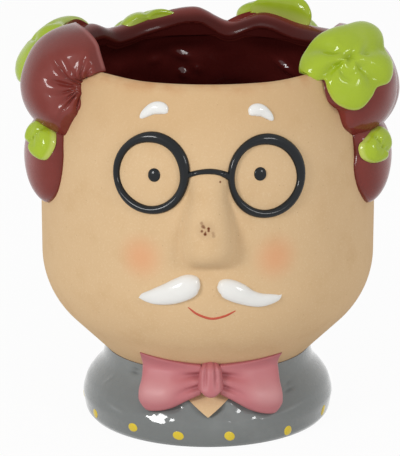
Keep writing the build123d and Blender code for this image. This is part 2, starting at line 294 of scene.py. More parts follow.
class Shader(Nodes):
    """One material's nodes, on the piece's own coordinates in metres."""

    def __init__(self, name: str) -> None:
        """Start an empty material."""
        self.material = bpy.data.materials.new(name)
        self.material.use_nodes = True
        super().__init__(self.material.node_tree)
        self.place = self.node("ShaderNodeTexCoord").outputs["Object"]

    def noise(self, scale: float, detail: float = 3.0, roughness: float = 0.5) -> Field:
        """Soft noise between 0 and 1, of so many lumps a metre."""
        inputs = {"Vector": self.place, "Scale": scale, "Detail": detail, "Roughness": roughness}
        return Field(self, self.node("ShaderNodeTexNoise", inputs=inputs).outputs[0])

    def specks(self, scale: float, size: float) -> Field:
        """Scattered round specks, 1 inside each.

        Args:
            scale: Cells a metre.
            size: A speck's radius as a share of its cell.

        Returns:
            The mask.
        """
        inputs = {"Vector": self.place, "Scale": scale, "Randomness": 1.0}
        distance = Field(self, self.node("ShaderNodeTexVoronoi", inputs=inputs).outputs["Distance"])
        return 1 - distance.between(size * 0.5, size)

    def height(self) -> Field:
        """Height above the foot, in metres."""
        return Field(self, self.node("ShaderNodeSeparateXYZ", inputs={0: self.place}).outputs[2])

    def near(self, spot: Vector, inner: float, outer: float) -> Field:
        """A soft ball, 1 within the inner radius of a spot and 0 past the outer one."""
        node = self.node("ShaderNodeVectorMath", {"operation": "DISTANCE"}, {0: self.place, 1: spot})
        return 1 - Field(self, node.outputs["Value"]).between(inner, outer)

    def attribute(self, name: str) -> Field:
        """A number stored on the piece's points."""
        return Field(self, self.node("ShaderNodeAttribute", {"attribute_name": name}).outputs["Fac"])

    def mix(self, base: Any, other: Any, factor: Any) -> bpy.types.NodeSocket:
        """Blend two colours.

        Args:
            base: The colour at factor 0.
            other: The colour at factor 1.
            factor: The blend, a number or field.

        Returns:
            The colour.
        """
        node = self.node("ShaderNodeMix", {"data_type": "RGBA"}, {0: factor, 6: base, 7: other})
        return node.outputs[2]

    def bump(self, height: Field, distance: float, strength: float = 1.0) -> bpy.types.NodeSocket:
        """Normals for a fine relief, its distance in metres."""
        inputs = {"Height": height, "Distance": distance, "Strength": strength}
        return self.node("ShaderNodeBump", inputs=inputs).outputs[0]

    def principled(self, **sockets: Any) -> bpy.types.Node:
        """A principled shader by its socket names, with _ for a blank."""
        inputs = {name.replace("_", " "): value for name, value in sockets.items()}
        return self.node("ShaderNodeBsdfPrincipled", inputs=inputs)

    def close(self, surface: bpy.types.NodeSocket) -> bpy.types.Material:
        """Give the material its surface and hand it over."""
        self.node("ShaderNodeOutputMaterial", inputs={0: surface})
        return self.material


@dataclass(frozen=True)
class HeadForm:
    """The head's outside: a surface of revolution with the nose raised on it."""

    neck_height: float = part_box("head_shell")[0][2] / MM
    rim_height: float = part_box("head_shell")[1][2] / MM
    head_radius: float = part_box("head_shell")[1][0] / MM
    rim_radius: float = 57.0
    neck_radius: float = 41.4
    cheek_top: float = 84.0
    cheek_bottom: float = 68.0
    wall: float = 5.0
    nose_ridge: tuple[Point, ...] = (
        (77.6, 0.0), (79.6, 3.9), (82, 7.2), (85.6, 8.8), (90.5, 8.2), (97, 6.5), (104, 4.4), (110, 2.6),
        (115, 1.1), (119, 0.0),
    )
    nose_width: tuple[Point, ...] = (
        (76, 6.8), (79, 8.8), (85, 10.6), (91, 10.2), (98, 8.8), (105, 7.0), (112, 6.2), (119, 6.0),
    )

    def radius(self, height: float) -> float:
        """Radius without the nose, the brow's curve carried on above the rim.

        Args:
            height: Height above the foot.

        Returns:
            The radius.
        """
        if height >= self.cheek_top:
            rise = self.rim_height - self.cheek_top
            inset = self.head_radius - self.rim_radius
            arc = (rise**2 + inset**2) / (2 * inset)
            return self.head_radius - arc + math.sqrt(arc**2 - (height - self.cheek_top) ** 2)
        if height >= self.cheek_bottom:
            return self.head_radius
        drop = self.cheek_bottom - self.neck_height
        inset = self.head_radius - self.neck_radius
        lean = math.sqrt(0.5)
        arc = (drop - inset) * lean / (1 - lean)
        if height >= self.cheek_bottom - arc * lean:
            return self.head_radius - arc + math.sqrt(arc**2 - (self.cheek_bottom - height) ** 2)
        return self.neck_radius + height - self.neck_height

    def nose(self, azimuth: float, height: float) -> float:
        """How far the nose stands out of the head.

        Args:
            azimuth: The place's azimuth.
            height: The place's height.

        Returns:
            The relief, nothing off the nose.
        """
        aside = math.radians(azimuth) * self.radius(height) / along(self.nose_width, height)
        bulb = max(1 - aside * aside, 0.0)
        return along(self.nose_ridge, height) * bulb**0.7 * ramp(0.0, 0.2, bulb)

    def normal(self, azimuth: float, height: float) -> Vector:
        """The way out of the head at a place, the nose left out."""
        slope = self.radius(height + 0.5) - self.radius(height - 0.5)
        return placed(1, azimuth, -slope).normalized()

    def at(self, azimuth: float, height: float, proud: float = 0.0) -> Vector:
        """A point on the head, or so far out of it."""
        reach = self.radius(height) + self.nose(azimuth, height)
        return placed(reach, azimuth, height) + self.normal(azimuth, height) * proud

    def wrap(self, bm: bmesh.types.BMesh, azimuth: float, height: float) -> None:
        """Lay a flat shape on the head.

        Args:
            bm: The shape: x to the right as seen from outside, y up, z out.
            azimuth: Where its origin goes.
            height: Where its origin goes.
        """
        for vert in bm.verts:
            across, up, out = vert.co
            slope = self.normal(azimuth, height + up / 2).z
            level = height + up * math.sqrt(1 - slope * slope)
            vert.co = self.at(azimuth + math.degrees(across / self.radius(level)), level, out)


@dataclass(frozen=True)
class BustForm:
    """The bust's outside, from foot to collar, hollowed a little over the hem at the front."""

    outline: tuple[Point, ...] = (
        (0, 48.4), (1.6, 49.5), (4.9, 50.2), (7.9, 50.6), (9.6, 50.4), (11.2, 50.0), (14.4, 48.8),
        (17.6, 46.5), (20, 44.4), (22.3, 42.8), (25, 42.0), (28.5, 41.6),
    )
    hollow: float = 1.35
    hollow_height: float = 15.4
    hollow_soft: float = 3.0
    lapel: float = 1.7
    lapel_place: Point = (10.0, 17.5)
    lapel_size: Point = (4.0, 2.8)
    uneven: float = 0.8
    uneven_size: Point = (6.0, 4.5)
    wrinkle_width: float = 0.7
    wrinkles: tuple[tuple[float, float, float, float, float], ...] = (
        (-43, 24.3, 3.5, 0.0, -0.6), (-42.5, 26, 2.6, 0.05, -0.5), (-46, 10.9, 5.0, -0.14, 0.5),
        (-60, 19, 2.0, 0.9, 0.5), (44.5, 17.9, 4.0, 0.08, -0.6), (46, 20.2, 2.6, 0.1, -0.4),
        (40, 12.1, 9.0, 0.1, 0.5),
    )

    def radius(self, height: float, azimuth: float = 90.0) -> float:
        """Radius at a place on the bust.

        Args:
            height: The place's height.
            azimuth: The place's azimuth, at the side if it isn't given.

        Returns:
            The radius.
        """
        aside = abs(wrapped(azimuth))
        press = self.hollow * bell(height - self.hollow_height, self.hollow_soft) * (1 - ramp(25, 60, aside))
        lump = self.lapel * bell(aside - self.lapel_place[0], self.lapel_size[0])
        lump *= bell(height - self.lapel_place[1], self.lapel_size[1])
        front = (1 - ramp(24, 40, aside)) * ramp(8, 11, height) * (1 - ramp(20, 24, height))
        spot = Vector((azimuth / self.uneven_size[0], height / self.uneven_size[1], 2.0))
        lump += self.uneven * front * noise.noise(spot)
        return along(self.outline, height) - press + lump + self.wrinkle(azimuth, height)

    def wrinkle(self, azimuth: float, height: float) -> float:
        """How far the wrinkles raise the shirt.

        Args:
            azimuth: The place's azimuth.
            height: The place's height.

        Returns:
            The relief, less than nothing where a wrinkle is pressed in.
        """
        relief = 0.0
        for middle, level, length, lean, depth in self.wrinkles:
            step = azimuth - middle
            relief += depth * bell(step, length) * bell(height - level - lean * step, self.wrinkle_width)
        return relief

    def at(self, azimuth: float, height: float, proud: float = 0.0) -> Vector:
        """A point on the bust, or so far out of it.

        Args:
            azimuth: The place's azimuth.
            height: The place's height.
            proud: How far out the point lies.

        Returns:
            The point.
        """
        slope = self.radius(height + 0.5, azimuth) - self.radius(height - 0.5, azimuth)
        foot = placed(self.radius(height, azimuth), azimuth, height)
        return foot + placed(1, azimuth, -slope).normalized() * proud


HEAD = HeadForm()
BUST = BustForm()


class Maker:
    """Turns a bmesh in millimetres into a finished piece."""

    @staticmethod
    def piece(
        name: str, bm: bmesh.types.BMesh, materials: Sequence[bpy.types.Material], slot: str, *nodes: str
    ) -> bpy.types.Object:
        """Make the object, put it on the pot and report it.

        Args:
            name: The piece's name.
            bm: Its shape, in millimetres; it is freed.
            materials: Its materials in order.
            slot: A record's slot name, or nothing; not used.
            nodes: The CAD nodes it stands for.

        Returns:
            The piece.
        """
        bmesh.ops.scale(bm, vec=(MM, MM, MM), verts=bm.verts)
        bmesh.ops.recalc_face_normals(bm, faces=bm.faces)
        for face in bm.faces:
            face.smooth = True
        mesh = bpy.data.meshes.new(name)
        bm.to_mesh(mesh)
        bm.free()
        for material in materials:
            mesh.materials.append(material)
        piece = bpy.data.objects.new(name, mesh)
        bpy.context.scene.collection.objects.link(piece)
        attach(piece, POT)
        if nodes:
            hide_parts(*nodes)
        LOG.info("%s: %d faces", name, len(mesh.polygons))
        return piece

    @staticmethod
    def dress(name: str, material: bpy.types.Material) -> None:
        """Give a solid that keeps its shape a better material.

        Args:
            name: The CAD node.
            material: Its material.
        """
        materials = bpy.data.objects[name].data.materials
        materials.clear()
        materials.append(material)
        LOG.info("%s: dressed", name)

    @staticmethod
    def spun(bm: bmesh.types.BMesh, steps: int) -> None:
        """Turn a loop about the z axis into a closed skin.

        Args:
            bm: The loop, which becomes the skin.
            steps: Divisions round it.
        """
        loop = bm.verts[:] + bm.edges[:]
        turn = {"cent": (0, 0, 0), "axis": (0, 0, 1), "angle": math.tau, "steps": steps, "use_merge": True}
        bmesh.ops.spin(bm, geom=loop, **turn)

    @staticmethod
    def turned(section: Sequence[Point], steps: int) -> bmesh.types.BMesh:
        """A closed section turned about the pot's axis.

        Args:
            section: Points (radius, height) round the section.
            steps: Divisions round the axis.

        Returns:
            The shape.
        """
        bm = bmesh.new()
        loop = [bm.verts.new((0, -radius, height)) for radius, height in section]
        for pair in zip(loop, loop[1:] + loop[:1]):
            bm.edges.new(pair)
        Maker.spun(bm, steps)
        return bm

    @staticmethod
    def slab(columns: int, rows: int) -> bmesh.types.BMesh:
        """A closed box from -1 to 1 with a fine grid on its two broad sides.

        Args:
            columns: Cuts along x.
            rows: Cuts along y.

        Returns:
            The shape.
        """
        bm = bmesh.new()
        bmesh.ops.create_cube(bm, size=2)
        for axis, cuts in ((0, columns), (1, rows)):
            edges = [e for e in bm.edges if abs((e.verts[0].co - e.verts[1].co)[axis]) > 1]
            bmesh.ops.subdivide_edges(bm, edges=edges, cuts=cuts, use_grid_fill=True)
        return bm

    @staticmethod
    def pebble(
        outline: Callable[[float], float], top: Callable[[float, float], float], root: float, fine: int = 96
    ) -> bmesh.types.BMesh:
        """A closed flat pebble: a ball pressed to an outline.

        Args:
            outline: Reach in each direction, by angle.
            top: Height of its upper side, by share of the reach and angle.
            root: How deep its lower side goes.
            fine: Divisions round it.

        Returns:
            The shape.
        """
        bm = bmesh.new()
        bmesh.ops.create_uvsphere(bm, u_segments=fine, v_segments=fine // 2, radius=1)
        for vert in bm.verts:
            share = min(reach_of(vert.co), 1.0)
            turn = math.atan2(vert.co.y, vert.co.x)
            reach = share * outline(turn)
            edge = math.sqrt(max(1 - share * share, 0.0))
            height = top(share, turn) if vert.co.z > 0.01 else -root * edge
            vert.co = (reach * math.cos(turn), reach * math.sin(turn), height)
        return bm


@dataclass(frozen=True)
class Bisque:
    """Unglazed stoneware: sandy, matte, with iron specks, blushed cheeks and a toasted rim."""

    base: str = "DCBB90"
    dark: str = "CDA778"
    pale: str = "E6CBA4"
    speck: str = "8A5A3C"
    blush: str = "E49E72"
    toast: str = "C48A5C"
    freckle: str = "6A3010"
    cheek_azimuth: float = 22.4
    cheek_height: float = 80.8
    cheek_span: Point = (0.5, 11.5)
    brow_span: Point = (115, 140)
    toast_drop: Point = (6, 0.3)
    freckles: tuple[tuple[float, float, float, float], ...] = (
        (-0.7, 94.6, 5.0, 0.14), (-2.0, 96.9, 0.9, 0.45), (-1.6, 95.8, 1.0, 0.7), (-1.2, 95.4, 0.7, 0.6),
        (-1.9, 94.1, 0.75, 0.85), (-0.95, 93.1, 0.85, 1.0), (-0.85, 93.8, 0.5, 0.7), (0.05, 95.1, 0.8, 1.0),
        (0.05, 94.3, 0.7, 0.9), (1.35, 93.4, 0.9, 0.3), (1.5, 92.4, 0.95, 0.3), (3.8, 111.0, 0.6, 0.95),
    )

    def material(self) -> bpy.types.Material:
        """Build the material.

        Returns:
            The material.
        """
        shader = Shader("bisque")
        colour = linear(self.base)
        colour = shader.mix(colour, linear(self.dark), shader.noise(90, 4).between(0.45, 0.8) * 0.35)
        colour = shader.mix(colour, linear(self.pale), shader.noise(1400, 2).between(0.5, 0.75) * 0.4)
        colour = shader.mix(colour, linear(self.speck), shader.specks(260, 0.07) * 0.3)
        for side in Side:
            spot = HEAD.at(side.value * self.cheek_azimuth, self.cheek_height) * MM
            cheek = shader.near(spot, self.cheek_span[0] * MM, self.cheek_span[1] * MM)
            colour = shader.mix(colour, linear(self.blush), cheek * 0.62)
        for azimuth, height, size, depth in self.freckles:
            mark = shader.near(HEAD.at(azimuth, height) * MM, 0.3 * size * MM, size * MM)
            colour = shader.mix(colour, linear(self.freckle), mark * depth)
        brow = shader.height().between(self.brow_span[0] * MM, self.brow_span[1] * MM)
        colour = shader.mix(colour, linear(self.dark), brow * 0.45)
        low, high = ((HEAD.rim_height - drop) * MM for drop in self.toast_drop)
        rim = shader.height().between(low, high)
        colour = shader.mix(colour, linear(self.toast), rim * shader.noise(90, 3).between(0.35, 0.7) * 0.6)
        grain = shader.noise(1500, 3, 0.6) + shader.noise(300, 3) * 0.8
        skin = shader.principled(
            Base_Color=colour,
            Roughness=0.72 + shader.noise(400) * 0.15,
            Normal=shader.bump(grain, 0.00012, 0.6),
            Specular_IOR_Level=0.25,
        )
        return shader.close(skin.outputs[0])


@dataclass(frozen=True)
class Glaze:
    """A glossy coloured glaze: paler where it runs thin or in painted highlight, darker where it pools or in
    painted shade.
    """

    name: str
    base: str
    thin: str
    pooled: str
    roughness: float = 0.22
    sheen: float = 0.06
    coat: float = 1.0
    mottle: float = 60.0
    ripple: float = 0.00025

    def material(self) -> bpy.types.Material:
        """Build the material.

        Returns:
            The material.
        """
        shader = Shader(self.name)
        cloud = shader.noise(self.mottle, 3)
        colour = shader.mix(linear(self.base), linear(self.thin), cloud.between(0.5, 0.85) * 0.3)
        colour = shader.mix(colour, linear(self.pooled), (1 - cloud).between(0.5, 0.85) * 0.3)
        # Mark above nothing: the paler colour where glaze runs thin, and painted highlight on the roll's top
        # and the shirt's ridges. Below nothing: the darker colour where glaze pools, and painted shade under
        # the roll and in the shirt's grooves.
        marked = shader.attribute("thin")
        colour = shader.mix(colour, linear(self.thin), marked.between(0.0, 1.0))
        pool_and_shade_mask = (0 - marked).between(0.0, 1.0)
        colour = shader.mix(colour, linear(self.pooled), pool_and_shade_mask)
        skin = shader.principled(
            Base_Color=colour,
            Roughness=self.roughness + shader.noise(250) * 0.1,
            Normal=shader.bump(shader.noise(self.mottle * 1.6, 2), self.ripple, 0.5),
            Specular_IOR_Level=self.sheen,
            # Painted shade also dulls the coat where the darker colour is painted.
            Coat_Weight=self.coat - pool_and_shade_mask * (0.8 * self.coat),
            Coat_Roughness=0.06,
        )
        return shader.close(skin.outputs[0])


class Finishes:
    """Every material of the planter, made once."""

    def __init__(self) -> None:
        """Build the materials."""
        matte = {"sheen": 0.3, "coat": 0.0}
        satin = {"sheen": 0.5, "coat": 0.0}
        self.bisque = Bisque().material()
        self.maroon = Glaze("maroon_glaze", "7A322B", "A0605C", "461511", coat=0.42).material()
        self.inside = Glaze("inside_glaze", "541B18", "68302C", "3A100E", coat=0.8).material()
        self.green = Glaze("green_glaze", "A5BC2A", "C6D56E", "84981A", coat=0.5).material()
        self.white = Glaze("white_glaze", "EEEDE9", "FAFAF7", "D9D6CF", coat=0.6).material()
        self.black = Glaze("black_glaze", "16191C", "2F3438", "0B0C0E", 0.3, coat=0.45).material()
        self.grey = Glaze("grey_glaze", "747877", "929695", "5C605F").material()
        self.pink = Glaze("pink_glaze", "BC7075", "D6A0A0", "984A50", 0.42, **satin).material()
        self.yellow = Glaze("yellow_enamel", "E3C838", "EEDD70", "C9A820", coat=0.5).material()
        self.red = Glaze("red_enamel", "C4553F", "D9806A", "9E3A2A", 0.4, coat=0.3).material()
        self.rubber = Glaze("stopper_rubber", "8C8A80", "9C9A90", "7A786E", 0.6, **matte).material()


@dataclass
class Head:
    """The hollow head with its nose."""

    finishes: Finishes
    turns: int = 360
    step: float = 1.0
    lip: float = 1.6
    lip_steps: int = 12
    hollow_low: float = 60.0
    hollow_wave: float = 1.5
    low_wall: float = 1.2
    glaze_line: float = 0.7
    roll_azimuth: float = 54.4
    # Painted shade: how dark the inner wall turns towards the rim, under the roll.
    pooling: float = 0.9
    rim_dip: float = 0.9
    ridge_width: float = 1.7
    ridges: tuple[tuple[float, float, float, float, float], ...] = (
        (-168.8, 134.5, 4.2, 22.0, 1.6), (-175.5, 128.5, 2.6, 32.0, 1.5), (-169.6, 126.5, 2.4, 50.0, 1.6),
        (145.0, 131.0, 5.5, 28.0, 1.8), (-157.0, 133.0, 3.0, -2.0, 1.0),
    )

    def section(self) -> list[Point]:
        """The wall's section, up the outside and down the inside.

        Returns:
            Points (radius, height).
        """
        low, high = HEAD.neck_height, HEAD.rim_height - self.lip
        count = int((HEAD.rim_height - low) / self.step)
        levels = [low + (high - low) * i / count for i in range(count + 1)]
        outside = [(HEAD.radius(z), z) for z in levels]
        walls = [HEAD.wall * (1.0 if z > self.hollow_low else self.low_wall) for z in levels]
        inside = [(HEAD.radius(z) - wall, z) for z, wall in zip(levels, walls)]
        half = HEAD.wall / 2
        middle = HEAD.rim_radius - half
        turns = [math.pi * i / self.lip_steps for i in range(1, self.lip_steps)]
        crown = [(middle + half * math.cos(turn), high + self.lip * math.sin(turn)) for turn in turns]
        return outside + crown + inside[::-1]

    def ridge(self, azimuth: float, height: float) -> float:
        """How far the ridges left by the luting raise the inner wall.

        Args:
            azimuth: The place's azimuth.
            height: The place's height.

        Returns:
            The relief.
        """
        relief = 0.0
        for middle, level, length, lean, depth in self.ridges:
            across = math.radians(wrapped(azimuth - middle)) * HEAD.rim_radius
            up = height - level
            turn = math.radians(lean)
            run = across * math.cos(turn) + up * math.sin(turn)
            aside = up * math.cos(turn) - across * math.sin(turn)
            relief += depth * bell(run, length) * bell(aside, self.ridge_width)
        return relief

    def wave(self, point: Vector) -> float:
        """How far the uneven glaze moves the inner wall outwards.

        Args:
            point: A point of the plain wall.

        Returns:
            The shift, less than nothing where a ridge stands into the hollow.
        """
        rim = HEAD.rim_height
        fade = ramp(self.hollow_low, 90, point.z) * (1 - ramp(rim - 8, rim - 3, point.z))
        lumps = noise.noise(Vector((point.x / 17, point.y / 17, point.z / 10)))
        lumps += 0.25 * noise.noise(point / 6)
        return self.hollow_wave * fade * lumps - self.ridge(azimuth_of(point), point.z)

    def build(self) -> None:
        """Turn the section, raise the nose, let the glaze inside run and darken the inside under the roll as
        painted shade.
        """
        rim = HEAD.rim_height
        bm = Maker.turned(self.section(), self.turns)
        layer = bm.verts.layers.float.new("thin")
        for face in bm.faces:
            centre = face.calc_center_median()
            deep = reach_of(centre) < HEAD.radius(centre.z) - HEAD.wall + self.glaze_line
            under_roll = centre.z > rim - self.lip and abs(azimuth_of(centre)) > self.roll_azimuth
            face.material_index = int(deep or under_roll)
        for vert in bm.verts:
            azimuth, reach, level = azimuth_of(vert.co), reach_of(vert.co), vert.co.z
            skin = HEAD.radius(level)
            if reach > skin - 1:
                vert.co = drawn(vert.co, reach + HEAD.nose(azimuth, level))
            elif reach < skin - HEAD.wall + 0.1 and level > self.hollow_low:
                # Painted shade: the inner wall darkens towards the rim, where the roll's shadow falls.
                vert[layer] = -self.pooling * ramp(rim - 15, rim - 4, level)
                vert.co = drawn(vert.co, reach + self.wave(vert.co))
            brow = 1 - ramp(24, 48, abs(azimuth))
            vert.co.z -= self.rim_dip * brow * ramp(rim - 14, rim, level)
        materials = [self.finishes.bisque, self.finishes.inside]
        Maker.piece("head", bm, materials, "bisque", "head_shell", "nose")


@dataclass
class Face:
    """Spectacles, eyes, brows, moustache and mouth, laid on the head."""

    finishes: Finishes
    rims: dict[Side, tuple[float, float, float]] = field(
        default_factory=lambda: {Side.LEFT: (-19.8, 112.75, 13.6), Side.RIGHT: (19.8, 111.65, 13.95)}
    )
    pupils: dict[Side, Point] = field(
        default_factory=lambda: {Side.LEFT: (-18.2, 112.4), Side.RIGHT: (17.4, 112.9)}
    )
    ring_half_width: float = 1.7
    ring_relief: float = 1.75
    pupil_radius: float = 2.35
    brow_start: float = 14.4
    whiskers: dict[Side, tuple[Point, ...]] = field(
        default_factory=lambda: {
            Side.LEFT: (
                (-2.5, 71.6), (-4, 71.5), (-6.3, 70.8), (-9.3, 69.2), (-13.1, 67.4), (-17.8, 65.9),
                (-21.6, 65.3), (-23.4, 64.7),
            ),
            Side.RIGHT: (
                (2.8, 70.5), (4.85, 70.4), (7.1, 69.4), (10.1, 67.8), (13.5, 65.8), (17, 64.6), (20.1, 64.5),
                (23.3, 64.8), (24.8, 65.8),
            ),
        }
    )
    whisker_widths: dict[Side, tuple[Point, ...]] = field(
        default_factory=lambda: {
            Side.LEFT: (
                (0, 0), (0.03, 1.8), (0.14, 3.6), (0.28, 4.6), (0.43, 4.7), (0.57, 4.2), (0.71, 3.1),
                (0.86, 1.5), (1, 0),
            ),
            Side.RIGHT: (
                (0, 0), (0.03, 1.8), (0.12, 3.3), (0.25, 4), (0.38, 3.9), (0.5, 3.2), (0.75, 2.2),
                (0.88, 1.2), (1, 0),
            ),
        }
    )

    def spectacle_rim(self, side: Side) -> None:
        """One rim, its painted width uneven as in handwork.

        Args:
            side: The side of the face it is on.
        """
        azimuth, height, radius = self.rims[side]
        bm = bmesh.new()
        upright = Matrix.Rotation(math.pi / 2, 3, "X")
        bmesh.ops.create_circle(bm, segments=20, radius=1)
        bmesh.ops.rotate(bm, verts=bm.verts, cent=(0, 0, 0), matrix=upright)
        bmesh.ops.translate(bm, verts=bm.verts, vec=(radius, 0, 0))
        Maker.spun(bm, 128)
        for vert in bm.verts:
            turn = math.atan2(vert.co.y, vert.co.x)
            reach = reach_of(vert.co) - radius
            uneven = 0.2 * math.cos(turn - 0.6) + 0.1 * math.sin(2 * turn - 0.8) + 0.05 * math.sin(5 * turn)
            wobble = 1 + 0.012 * math.sin(3 * turn + 2 * side.value)
            ring = radius * wobble + reach * self.ring_half_width * (1 + uneven)
            vert.co = (ring * math.cos(turn), ring * math.sin(turn), vert.co.z * self.ring_relief)
        HEAD.wrap(bm, azimuth, height)
        black = [self.finishes.black]
        Maker.piece(f"spectacle_{side.word}", bm, black, "black_glaze", f"spectacle_rim_{side.word}")

    def strand(self, path: Sequence[Point], widths: Sequence[Point], relief: float) -> bmesh.types.BMesh:
        """A rounded strand along a line on the face.

        Args:
            path: Points (azimuth, height) the line goes through.
            widths: Half width along it, by share of its length.
            relief: Height as a share of the half width.

        Returns:
            The shape, in its place on the head.
        """
        root = 0.8
        stations = [i / (len(path) - 1) for i in range(len(path))]
        turns = list(zip(stations, (p[0] for p in path)))
        levels = list(zip(stations, (p[1] for p in path)))
        bm = bmesh.new()
        bmesh.ops.create_uvsphere(bm, u_segments=24, v_segments=64, radius=1)
        for vert in bm.verts:
            share = 0.5 + 0.5 * vert.co.z
            turn = math.atan2(vert.co.y, vert.co.x)
            half = along(widths, share) if reach_of(vert.co) > 1e-4 else 0.0
            azimuth, level = along(turns, share), along(levels, share)
            ahead, back = min(share + 0.01, 1.0), max(share - 0.01, 0.0)
            run = math.radians(along(turns, ahead) - along(turns, back)) * HEAD.radius(level)
            rise = along(levels, ahead) - along(levels, back)
            length = math.hypot(run, rise)
            across = half * math.cos(turn)
            height = half * relief * math.sin(turn)
            shift = math.degrees(-rise / length * across / HEAD.radius(level))
            vert.co = HEAD.at(azimuth + shift, level + run / length * across, max(height, -root))
        return bm

    def bridge(self) -> None:
        """The arched bead between the rims."""
        path = ((-7.5, 112.5), (-3.8, 114.2), (0.2, 114.8), (3.8, 114.2), (7.2, 112.3))
        widths = ((0.0, 1.2), (0.2, 0.9), (0.5, 0.95), (0.8, 1.05), (1.0, 1.5))
        bm = self.strand(path, widths, 1.1)
        Maker.piece("spectacle_arch", bm, [self.finishes.black], "black_glaze", "spectacle_bridge")

    def pupil(self, side: Side) -> None:
        """One small domed pupil, a little taller than wide.

        Args:
            side: The side of the face it is on.
        """
        bm = Maker.pebble(
            lambda turn: self.pupil_radius + 0.2 * abs(math.sin(turn)),
            lambda share, turn: math.sqrt(1 - share * share),
            0.6,
            48,
        )
        HEAD.wrap(bm, *self.pupils[side])
        Maker.piece(f"eye_{side.word}", bm, [self.finishes.black], "black_glaze", f"pupil_{side.word}")

    def brow(self, side: Side) -> None:
        """One white brow, fat towards the nose.

        Args:
            side: The side of the face it is on.
        """
        line = ((0, 135.6), (2.4, 137.0), (5.4, 136.8), (8.2, 135.0), (10.4, 132.8))
        length, drop = (0.86, 0.9) if side is Side.RIGHT else (1.0, 0.2)
        path = [(side.value * (self.brow_start + run * length), level - drop) for run, level in line]
        widths = ((0.0, 0.0), (0.06, 1.2), (0.2, 2.1), (0.45, 2.3), (0.78, 1.6), (0.95, 0.8), (1.0, 0.0))
        bm = self.strand(path, widths, 0.7)
        Maker.piece(f"brow_{side.word}", bm, [self.finishes.white], "white_glaze", f"eyebrow_{side.word}")

    def moustache(self, side: Side) -> None:
        """One half of the moustache: a comma with its point outwards.

        Args:
            side: The side of the face it is on.
        """
        bm = self.strand(self.whiskers[side], self.whisker_widths[side], 0.72)
        white = [self.finishes.white]
        Maker.piece(f"whisker_{side.word}", bm, white, "white_glaze", f"moustache_{side.word}")

    def mouth(self) -> None:
        """The thin smiling line under the moustache."""
        path = ((-6.6, 62.4), (-3.6, 59.6), (1.0, 57.7), (5.4, 58.7), (9.0, 60.8))
        widths = ((0.0, 0.2), (0.15, 0.42), (0.5, 0.5), (0.85, 0.4), (1.0, 0.2))
        Maker.piece("mouth_line", self.strand(path, widths, 0.5), [self.finishes.red], "")

    def build(self) -> None:
        """Lay every feature on the face."""
        for side in Side:
            self.spectacle_rim(side)
            self.pupil(side)
            self.brow(side)
            self.moustache(side)
        self.bridge()
        self.mouth()


@dataclass(frozen=True)
class Gather:
    """Folds that run together at a pinched point of a tuft."""

    point: Vector
    away: Vector
    out: Vector
    folds: float
    depth: float = 2.0
    reach: float = 17.0

    def relief(self, place: Vector) -> float:
        """Height of the folds on the tuft.

        Args:
            place: A point of the tuft.

        Returns:
            The height there, as a share of the folds' depth.
        """
        step = place - self.point
        run = step.dot(self.away) + 0.6 * max(step.dot(self.out), 0.0)
        turn = math.atan2(step.z, run)
        length = self.reach * (0.85 + 0.5 * noise.noise(Vector((turn * 2.1, self.folds, 0.3))))
        swing = 0.5 * self.folds * turn + 0.8 * noise.noise(Vector((turn * 1.7, 0.6, self.folds)))
        ridge = abs(math.cos(swing)) ** 0.8 - 0.62
        return ridge * ramp(0.8, 4.0, step.length) * (1 - ramp(0.3 * length, length, step.length))


